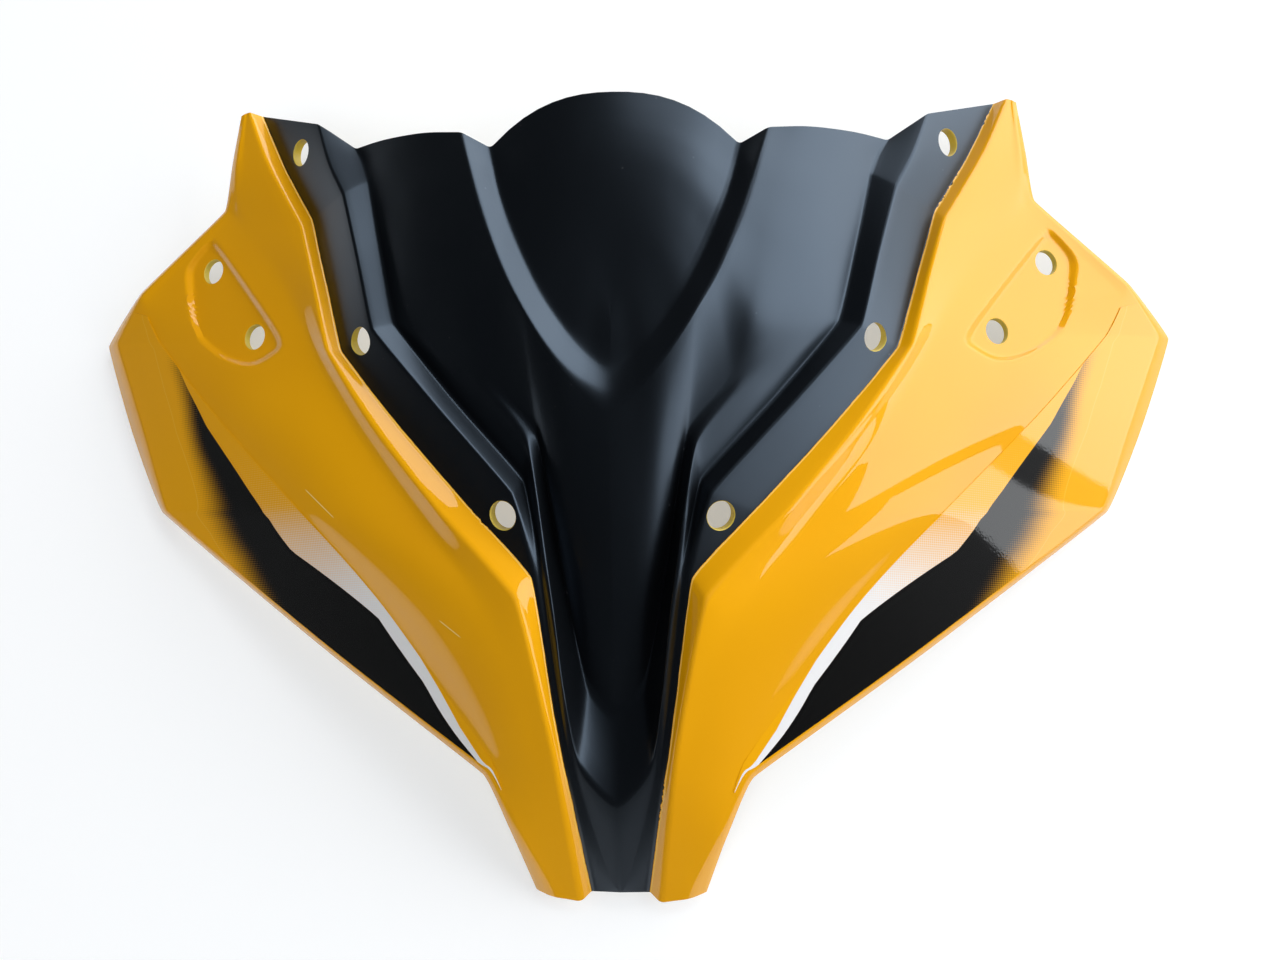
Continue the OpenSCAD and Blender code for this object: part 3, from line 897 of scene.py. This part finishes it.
def filmPrint(spec):
    material, tree, shader = newMaterial("printedFilm")
    coords = objectCoords(tree)
    parts = []
    for layer in filmMaps:
        split = splitVector(tree, uvCoords(tree, layer))
        parts += [split["X"], split["Y"]]
    gap, black, border, stripe, fromClear, _ = parts
    screen = dotScreen(tree, coords, spec)
    blur, edge = spec["dotBlur"], spec["edgeBlur"]
    blackDots = rangeNode(tree, mathNode(tree, "SUBTRACT", black, screen), -blur, blur)
    whiteDots = rangeNode(tree, mathNode(tree, "SUBTRACT", stripe, screen), -blur, blur)
    below = rangeNode(tree, gap, -edge, edge)
    insideBorder = rangeNode(tree, border, -edge, edge)
    whiteMask = mathNode(tree, "MULTIPLY", mathNode(tree, "MULTIPLY", whiteDots, insideBorder),
                         mathNode(tree, "SUBTRACT", 1.0, below))
    clearLine = rangeNode(tree, mathNode(tree, "ABSOLUTE", fromClear), *spec["clearLine"],
                          spec["clearLineInk"], 0)
    ground = mixColors(tree, clearLine, paints["yellow"], paints["clearLine"])
    ground = mixColors(tree, whiteMask, ground, paints["stripe"])
    blackMask = mathNode(tree, "MULTIPLY", blackDots, below)
    tree.links.new(mixColors(tree, blackMask, ground, paints["print"]), shader.inputs["Base Color"])
    shader.inputs["Roughness"].default_value = spec["roughness"]
    shader.inputs["Specular IOR Level"].default_value = spec["specular"]
    shader.inputs["Coat Weight"].default_value = 1
    shader.inputs["Coat Roughness"].default_value = spec["coatRoughness"]
    ripple = bumpNode(tree, noiseNode(tree, coords, *spec["ripple"]), *spec["rippleBump"])
    tree.links.new(ripple, shader.inputs["Normal"])
    tree.links.new(ripple, shader.inputs["Coat Normal"])
    return material


printed = filmPrint(film)
for side, name in ((1, "Right"), (-1, "Left")):
    wingFilm = buildFilm(film, "wingFilm" + name, side)
    wingFilm.data.materials.append(printed)
    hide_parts("decal_" + name.lower())
    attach(wingFilm, "root")
print("films are on")


# Two large windows meet in the corner behind the right ear, with a narrow one beside them.
# The overhead fill is too soft to be seen in the paint, so glossy rays miss it.
studio = {
    "lamps": {
        "windowRight": {"place": (2.6, 1.16, 1.6), "aim": (0, 1.16, 1.6), "size": (3.08, 3.1), "glow": 3.4},
        "windowBack": {"place": (1.38, 2.7, 1.6), "aim": (1.38, 0, 1.6), "size": (2.46, 3.1), "glow": 3.4},
        "windowSide": {"place": (2.45, -0.81, 0.9), "aim": (0, 0, 0.9), "size": (0.62, 1.7), "glow": 3},
        "overheadFill": {"place": (0, -1, 3), "aim": (0, 0, 0), "size": (3, 3), "glow": 0.64},
    },
    "unseen": ["overheadFill"],
    "fillSpread": 70,
    "light": (0.94, 0.97, 1),
    "air": (0.86, 0.93, 1, 1),
    "airStrength": 0.05,
    "floor": (0.68, 0.68, 0.68, 1),
    "floorReach": 4,
    "floorRoughness": 0.9,
    "floorGlow": 0.34,
}


def addStudio():
    floor = bmesh.new()
    bmesh.ops.create_grid(floor, x_segments=1, y_segments=1, size=studio["floorReach"])
    mesh = bpy.data.meshes.new("floor")
    floor.to_mesh(mesh)
    floor.free()
    piece = bpy.data.objects.new("floor", mesh)
    bpy.context.scene.collection.objects.link(piece)
    paint, tree, shader = newMaterial("floorPaint")
    shader.inputs["Base Color"].default_value = studio["floor"]
    shader.inputs["Roughness"].default_value = studio["floorRoughness"]
    shader.inputs["Emission Color"].default_value = (1, 1, 1, 1)
    rays = tree.nodes.new("ShaderNodeLightPath")
    seen = mathNode(tree, "MAXIMUM", rays.outputs["Is Camera Ray"], rays.outputs["Is Transmission Ray"])
    seen = mathNode(tree, "MAXIMUM", seen, rays.outputs["Is Glossy Ray"])
    tree.links.new(mathNode(tree, "MULTIPLY", seen, studio["floorGlow"]), shader.inputs["Emission Strength"])
    piece.data.materials.append(paint)
    for name, lampSpec in studio["lamps"].items():
        lamp = bpy.data.objects.new(name, bpy.data.lights.new(name, "AREA"))
        lamp.data.shape = "RECTANGLE"
        lamp.data.size, lamp.data.size_y = lampSpec["size"]
        lamp.data.energy = lampSpec["glow"] * math.pi * lamp.data.size * lamp.data.size_y
        lamp.data.color = studio["light"]
        if name in studio["unseen"]:
            lamp.visible_glossy = False
            lamp.data.spread = math.radians(studio["fillSpread"])
        lamp.location = lampSpec["place"]
        aim = Vector(lampSpec["aim"]) - Vector(lampSpec["place"])
        lamp.rotation_euler = aim.to_track_quat("-Z", "Y").to_euler()
        bpy.context.scene.collection.objects.link(lamp)
    world = bpy.data.worlds.new("studioAir")
    world.use_nodes = True
    world.node_tree.nodes["Background"].inputs["Color"].default_value = studio["air"]
    world.node_tree.nodes["Background"].inputs["Strength"].default_value = studio["airStrength"]
    bpy.context.scene.world = world
    bpy.context.scene.view_settings.view_transform = "Standard"


addStudio()
